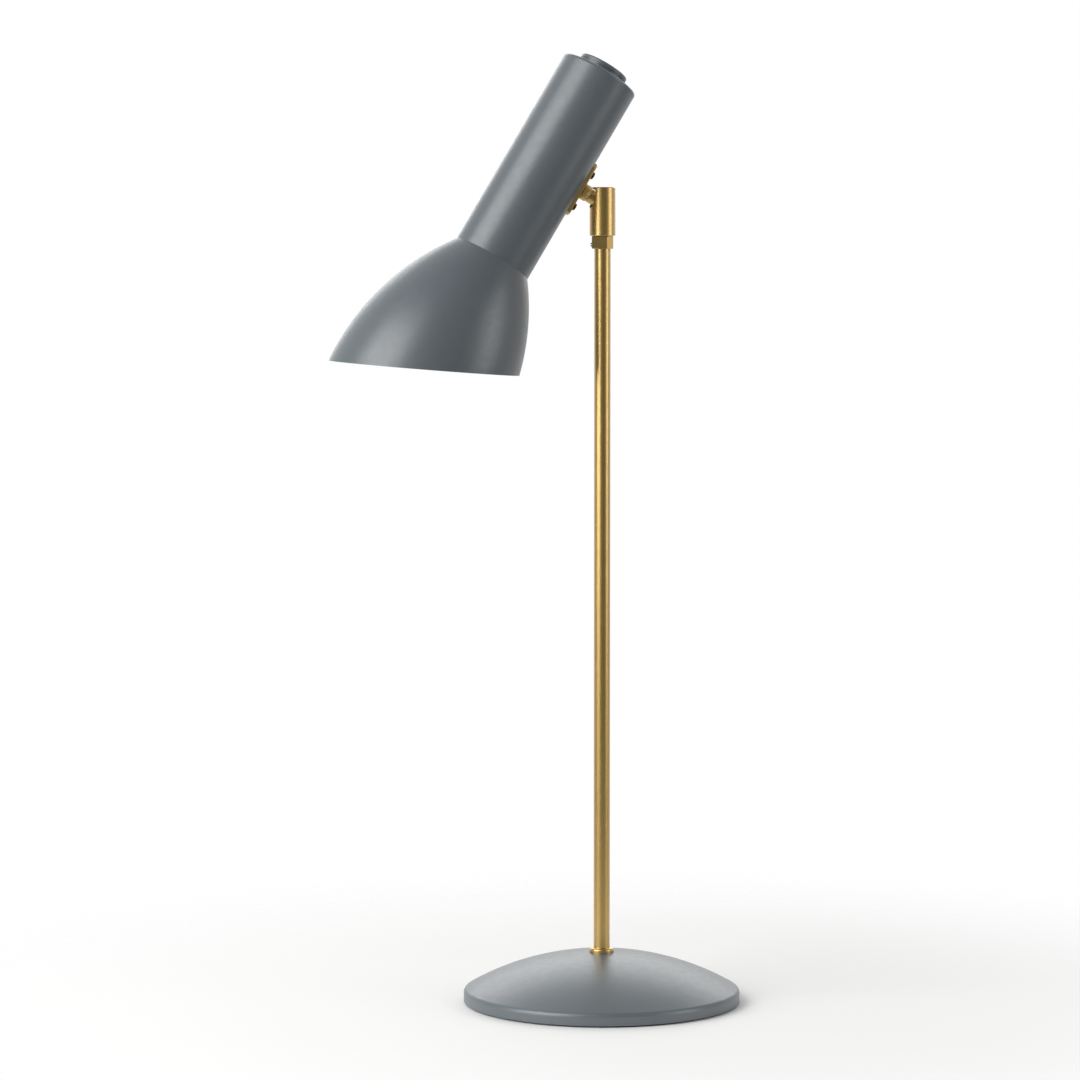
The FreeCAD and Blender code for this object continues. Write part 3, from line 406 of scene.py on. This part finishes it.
# %% Enamel the shade's inside
shade_mesh = nodes["shade"].data
shade_mesh.materials.append(white_enamel)
to_head = head_frame.inverted()
turn_only = to_head.to_3x3()
neck_level = tube_low.z - 20 * MM
whitened = 0
for face in shade_mesh.polygons:
    middle = to_head @ face.center
    normal = turn_only @ face.normal
    outward = Vector((middle.x - tube_axis_x, middle.y, 0)).normalized()
    end_face = abs(normal.z) > 0.7
    if end_face:
        inside = middle.z > neck_level and normal.z < 0
    else:
        inside = normal.dot(outward) < 0
    face.material_index = int(inside)
    whitened += inside
print("enamelled", whitened, "of", len(shade_mesh.polygons), "faces")

# %% [markdown]
# ## Turning new pieces on a lathe
#
# Some small pieces deserve finer shapes than the machined model has. Most of them are round,
# so one helper spins an outline of (radius, height) points about an axis. A second function
# can push each point in or out by its angle and height, which cuts a knurl or a thread.

# %% The lathe
def turned(name, outline, place, columns=64, cut=None):
    """Spin an outline, in millimetres, about the Z axis of a place."""
    mesh = bpy.data.meshes.new(name)
    shape = bmesh.new()
    rings = []
    for radius, height in outline:
        ring = []
        for column in range(columns):
            angle = math.tau * column / columns
            reach = cut(radius, height, angle) if cut else radius
            point = Vector((reach * math.cos(angle), reach * math.sin(angle), height)) * MM
            ring.append(shape.verts.new(point))
        rings.append(ring)
    for lower, upper in zip(rings, rings[1:]):
        for column in range(columns):
            after = (column + 1) % columns
            shape.faces.new((lower[column], lower[after], upper[after], upper[column]))
    bmesh.ops.remove_doubles(shape, verts=shape.verts, dist=1e-6)
    bmesh.ops.recalc_face_normals(shape, faces=shape.faces)
    shape.to_mesh(mesh)
    shape.free()
    mesh.transform(place)
    mesh.shade_smooth()
    mesh.set_sharp_from_angle(angle=math.radians(38))
    piece = bpy.data.objects.new(name, mesh)
    scene.collection.objects.link(piece)
    print(name, "has", len(mesh.polygons), "faces")
    return piece


def stood(origin, axis):
    """Place whose Z axis points along the given direction."""
    place = axis.to_track_quat("Z", "Y").to_matrix().to_4x4()
    place.translation = origin
    return place


def fit_in(piece, body, slot, finish, *replaced):
    """Give a new piece its finish and let it take over from machined ones."""
    piece.data.materials.append(finish)
    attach(piece, body)
    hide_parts(*replaced)


# %% [markdown]
# ## The knurled ring
#
# A ring on the stalk jams against the saddle to lock the head. Its grip is a straight knurl
# pressed in by a wheel: rounded ridges with even gaps, and a turned chamfer at each end
# where the knurl runs out. A bump would lose its outline, so the ridges are real.

# %% Knurl the ring
ring_low, ring_high = measured("stalk_ring", head_frame)
ring_length = (ring_high.x - ring_low.x) / MM
ring_radius = ring_high.y / MM
thread_radius = 3.5
grip_start = 1.3
chamfer = 0.3
ridges = 30
ridge_depth = 0.26


def knurl(radius, height, angle):
    """Rounded ridges on the grip only, so its chamfers stay plain."""
    if height < grip_start or radius < ring_radius - 0.05:
        return radius
    wave = math.cos(ridges * angle)
    return radius - ridge_depth * (0.5 - 0.5 * wave) ** 1.5


ring_outline = [
    (thread_radius, 0),
    (4.25, 0),
    (4.4, 0.15),
    (4.4, 0.7),
    (4.15, 0.85),
    (4.15, 1.15),
    (ring_radius - chamfer, grip_start - 0.001),
    (ring_radius, grip_start + chamfer),
    (ring_radius, ring_length - chamfer),
    (ring_radius - chamfer, ring_length),
    (thread_radius, ring_length),
    (thread_radius, 0),
]
ring_place = stood(head_frame @ Vector((ring_high.x, 0, 0)), along_stalk)
knurled_ring = turned("knurled_ring", ring_outline, ring_place, 240, knurl)
fit_in(knurled_ring, "ball", "brass", stalk_brass, "stalk_ring")

# %% [markdown]
# ## The saddle's screws
#
# Two slotted cheese-head screws hold the saddle. The head is turned with a rounded edge,
# then a saw cuts its slot, so the same is done here: the lathe makes the screw, a boolean
# saws the slot, and a small bevel breaks the sharp edges so that they catch the light.

# %% Turn and saw the screws
screw_low, screw_high = measured("saddle_screws", head_frame)
plate_out = measured("saddle_plate", head_frame)[1].x
head_radius = screw_high.y / MM
head_length = (screw_high.x - plate_out) / MM
shank_length = (plate_out - screw_low.x) / MM
screw_spread = screw_high.z - head_radius * MM
shank_radius = 1.5
edge = 0.6
slot_width = 0.6
slot_depth = 0.9
rounded = [
    (head_radius - edge + edge * math.cos(a), head_length - edge + edge * math.sin(a))
    for a in [math.pi / 2 * step / 6 for step in range(7)]
]
screw_outline = [
    (0, -shank_length),
    (shank_radius, -shank_length),
    (shank_radius, 0),
    (head_radius, 0),
    *rounded,
    (0, head_length),
]


def sawn_screw(name, height, slot_turn):
    """One screw at a height on the tube, with its slot turned by an angle."""
    place = stood(head_frame @ Vector((plate_out, 0, height)), -along_stalk)
    piece = turned(name, screw_outline, place, 48)
    cutter_mesh = bpy.data.meshes.new("saw")
    saw = bmesh.new()
    bmesh.ops.create_cube(saw, size=1)
    blade = Vector((slot_width, 3 * head_radius, 2 * slot_depth)) * MM
    bmesh.ops.scale(saw, vec=blade, verts=saw.verts)
    saw.to_mesh(cutter_mesh)
    saw.free()
    lift = Matrix.Translation((0, 0, head_length * MM))
    cutter_mesh.transform(place @ Matrix.Rotation(math.radians(slot_turn), 4, "Z") @ lift)
    cutter = bpy.data.objects.new("saw", cutter_mesh)
    scene.collection.objects.link(cutter)
    sawing = piece.modifiers.new("sawing", "BOOLEAN")
    sawing.object = cutter
    sawing.solver = "EXACT"
    breaking = piece.modifiers.new("breaking", "BEVEL")
    breaking.width = 0.07 * MM
    breaking.segments = 2
    breaking.limit_method = "ANGLE"
    breaking.angle_limit = math.radians(40)
    bpy.context.view_layer.update()
    ready = piece.evaluated_get(bpy.context.evaluated_depsgraph_get())
    piece.data = bpy.data.meshes.new_from_object(ready)
    piece.modifiers.clear()
    bpy.data.objects.remove(cutter)
    piece.data.materials.clear()
    return piece


for name, side, slot_turn in (("saddle_screw_high", 1, 25), ("saddle_screw_low", -1, 70)):
    screw = sawn_screw(name, side * screw_spread, slot_turn)
    fit_in(screw, "head", "dark_steel", black_steel, "saddle_screws")

# %% [markdown]
# ## The cord inlet
#
# A rubber grommet lines the inlet at the back of the foot. A moulded one has rounded lips
# inside and out and a waist that the steel sits in.

# %% Mould the grommet
grommet_low, grommet_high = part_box("cable_grommet")
lip = (grommet_high.z - grommet_low.z) / 2 / MM
depth = (grommet_high.y - grommet_low.y) / MM
grommet_z = (grommet_high.z + grommet_low.z) / 2
waist = lip - 0.9
hole = 2.6
grommet_outline = [
    (hole, 0.3),
    (hole + 0.25, 0.05),
    (lip - 0.35, 0),
    (lip - 0.08, 0.2),
    (lip, 0.5),
    (lip - 0.1, 0.85),
    (waist, 1.0),
    (waist, depth - 1.0),
    (lip - 0.1, depth - 0.85),
    (lip, depth - 0.5),
    (lip - 0.08, depth - 0.2),
    (lip - 0.35, depth),
    (hole + 0.25, depth - 0.05),
    (hole, depth - 0.3),
    (hole, 0.3),
]
grommet_place = stood(Vector((0, grommet_low.y, grommet_z)), Vector((0, 1, 0)))
grommet = turned("moulded_grommet", grommet_outline, grommet_place, 56)
fit_in(grommet, "base", "black_rubber", rubber, "cable_grommet")

# %% [markdown]
# ## The bulb's screw cap
#
# The cap of a small screw bulb is thin nickel-plated brass with a rolled round thread,
# 2.8 mm from ridge to ridge. The lathe's cutting function moves each point in by where it
# lies along the helix, and the thread fades out at both ends, as a rolled one does.

# %% Roll the thread
cap_low, cap_high = measured("bulb_cap", head_frame)
cap_length = (cap_high.z - cap_low.z) / MM
cap_radius = cap_high.y / MM
shell_length = cap_length - 2.4
thread_pitch = 2.82
thread_depth = 0.75
ring_gap = 0.2


def rolled_thread(radius, height, angle):
    """Round thread on the shell, fading at its ends."""
    if radius < cap_radius - 0.01:
        return radius
    fade = min(1, max(0, height - 1) / 1.5, max(0, shell_length - 0.6 - height) / 1.2)
    wave = 0.5 - 0.5 * math.cos(math.tau * height / thread_pitch - angle)
    return radius - thread_depth * max(0, fade) * wave


cap_outline = [(cap_radius - 0.5, 0)]
cap_outline += [
    (cap_radius, ring_gap + ring_gap * ring) for ring in range(int(shell_length / ring_gap) - 1)
]
cap_outline += [
    (5.6, shell_length + 0.5),
    (3.4, shell_length + 1.6),
    (2.4, shell_length + 1.9),
    (2.3, cap_length - 0.2),
    (1.6, cap_length),
    (0, cap_length),
]
cap_place = stood(head_frame @ Vector((tube_axis_x, 0, cap_low.z)), up_tube)
screw_cap = turned("bulb_screw_cap", cap_outline, cap_place, 72, rolled_thread)
fit_in(screw_cap, "head", "nickel", nickel, "bulb_cap")

# %% [markdown]
# ## Camera
#
# The lamp is seen from a little to its own left, 15 degrees off the side view, from about
# two and a half metres with a long lens, so that the stem stays straight and the foot is an
# even oval. The camera stands about as high as the ball and tips down slightly.

# %% Set up the camera
aside = math.radians(15)
down = math.radians(4.5)
camera_distance = 2.53
sideways = 0.038
eye_height = 0.4845
forward = Vector((math.sin(aside), math.cos(aside), 0))
right = Vector((math.cos(aside), -math.sin(aside), 0))
camera_data = bpy.data.cameras.new("camera")
camera_data.sensor_width = 36
camera_data.lens = 138.33
camera = bpy.data.objects.new("camera", camera_data)
scene.collection.objects.link(camera)
camera.location = -camera_distance * forward - sideways * right + Vector((0, 0, eye_height))
view_direction = forward * math.cos(down) - Vector((0, 0, math.sin(down)))
camera.rotation_euler = view_direction.to_track_quat("-Z", "Y").to_euler()
scene.camera = camera
print("camera at", [round(v, 3) for v in camera.location])

# %% [markdown]
# ## Floor and studio
#
# A white table fades into a white room. The floor is a wide disc whose edge turns clear, so
# that no horizon cuts the picture. The room is brightest behind the lamp and dimmer on the
# camera's side, which is what gives round metal its dark and light bands. Only the light it
# gives changes this way: where the camera looks past the lamp, the room is plain white.

# %% Pale floor
floor_radius = 0.6
clear_from, clear_at = 0.12, 0.55
floor_mesh = bpy.data.meshes.new("floor")
disc = bmesh.new()
bmesh.ops.create_circle(disc, cap_ends=True, segments=96, radius=floor_radius)
disc.to_mesh(floor_mesh)
disc.free()
floor = bpy.data.objects.new("floor", floor_mesh)
scene.collection.objects.link(floor)
floor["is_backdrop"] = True

floor_finish, tree, shader = begin_finish(
    "pale_floor", {"Roughness": 0.9, "Specular IOR Level": 0.1}
)
clouded_colour(tree, shader, cloud(tree, 300), "#F4F4F3", "#F8F8F7")
place = add_node(tree, "ShaderNodeTexCoord")
spread = add_node(
    tree, "ShaderNodeVectorMath", {"operation": "LENGTH"}, {0: place.outputs["Object"]}
)
fade = add_node(
    tree,
    "ShaderNodeMapRange",
    {
        "interpolation_type": "SMOOTHSTEP",
        "From Min": clear_from,
        "From Max": clear_at,
        "To Min": 1,
        "To Max": 0,
    },
    {"Value": spread.outputs["Value"]},
)
tree.links.new(fade.outputs["Result"], shader.inputs["Alpha"])
floor_mesh.materials.append(floor_finish)
print("floor %.1f m across" % floor.dimensions.x)

# %% Bright room
dim_side, bright_side = 0.15, 0.9
room = bpy.data.worlds.new("room")
room.use_nodes = True
scene.world = room
tree = room.node_tree
direction = add_node(tree, "ShaderNodeTexCoord")
facing = add_node(
    tree,
    "ShaderNodeVectorMath",
    {"operation": "DOT_PRODUCT", 1: forward},
    {0: direction.outputs["Generated"]},
)
brightness = add_node(
    tree,
    "ShaderNodeMapRange",
    {
        "interpolation_type": "SMOOTHSTEP",
        "From Min": -0.3,
        "From Max": 1.0,
        "To Min": dim_side,
        "To Max": bright_side,
    },
    {"Value": facing.outputs["Value"]},
)
looking = add_node(tree, "ShaderNodeLightPath")
shown = add_node(
    tree,
    "ShaderNodeMix",
    {"data_type": "FLOAT", 3: 1.0},
    {0: looking.outputs["Is Camera Ray"], 2: brightness.outputs["Result"]},
)
background = tree.nodes["Background"]
background.inputs["Color"].default_value = (1, 1, 1, 1)
tree.links.new(shown.outputs[0], background.inputs["Strength"])
print("room is brightest along", [round(v, 2) for v in forward])

# %% [markdown]
# ## Soft lights
#
# A tall softbox to the left of the camera draws the long highlight down the tube and the
# stem and the bright spot on the foot's shoulder. A weaker one to the right fills the
# other side, and a low one behind lights the floor and the far edges. None of them is
# seen by the camera.

# %% Hang the softboxes
aim = Vector((-0.03, 0, 0.32))


def softbox(name, angle, distance, height, width, tall, power):
    """Area light at an angle to the right of the camera, seen from the lamp."""
    turned_by = math.radians(angle)
    level = -forward * math.cos(turned_by) + right * math.sin(turned_by)
    light_data = bpy.data.lights.new(name, "AREA")
    light_data.shape = "RECTANGLE"
    light_data.size = width
    light_data.size_y = tall
    light_data.energy = power
    light = bpy.data.objects.new(name, light_data)
    scene.collection.objects.link(light)
    light.location = level * distance + Vector((0, 0, height))
    light.rotation_euler = (aim - light.location).to_track_quat("-Z", "Y").to_euler()
    light.visible_camera = False
    print(name, "at", [round(v, 2) for v in light.location])


softbox("key_softbox", -55, 1.8, 1.1, 1.7, 2.0, 46)
softbox("fill_softbox", 72, 1.8, 0.7, 0.8, 1.4, 9)
softbox("back_softbox", 180, 1.6, 1.0, 2.0, 1.0, 11)

scene.view_settings.view_transform = "Standard"

# %% [markdown]
# ## Compare the size
#
# The new pieces must stay inside the machined lamp's box. The finished lamp's box is measured,
# and how far it has grown past the machined box's high corner is printed.

# %% Compare the boxes
finished_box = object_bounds()
growth = [
    round((after - before) / MM, 2) for before, after in zip(machined_box[1], finished_box[1])
]
print("grown at the high corner, mm:", growth)
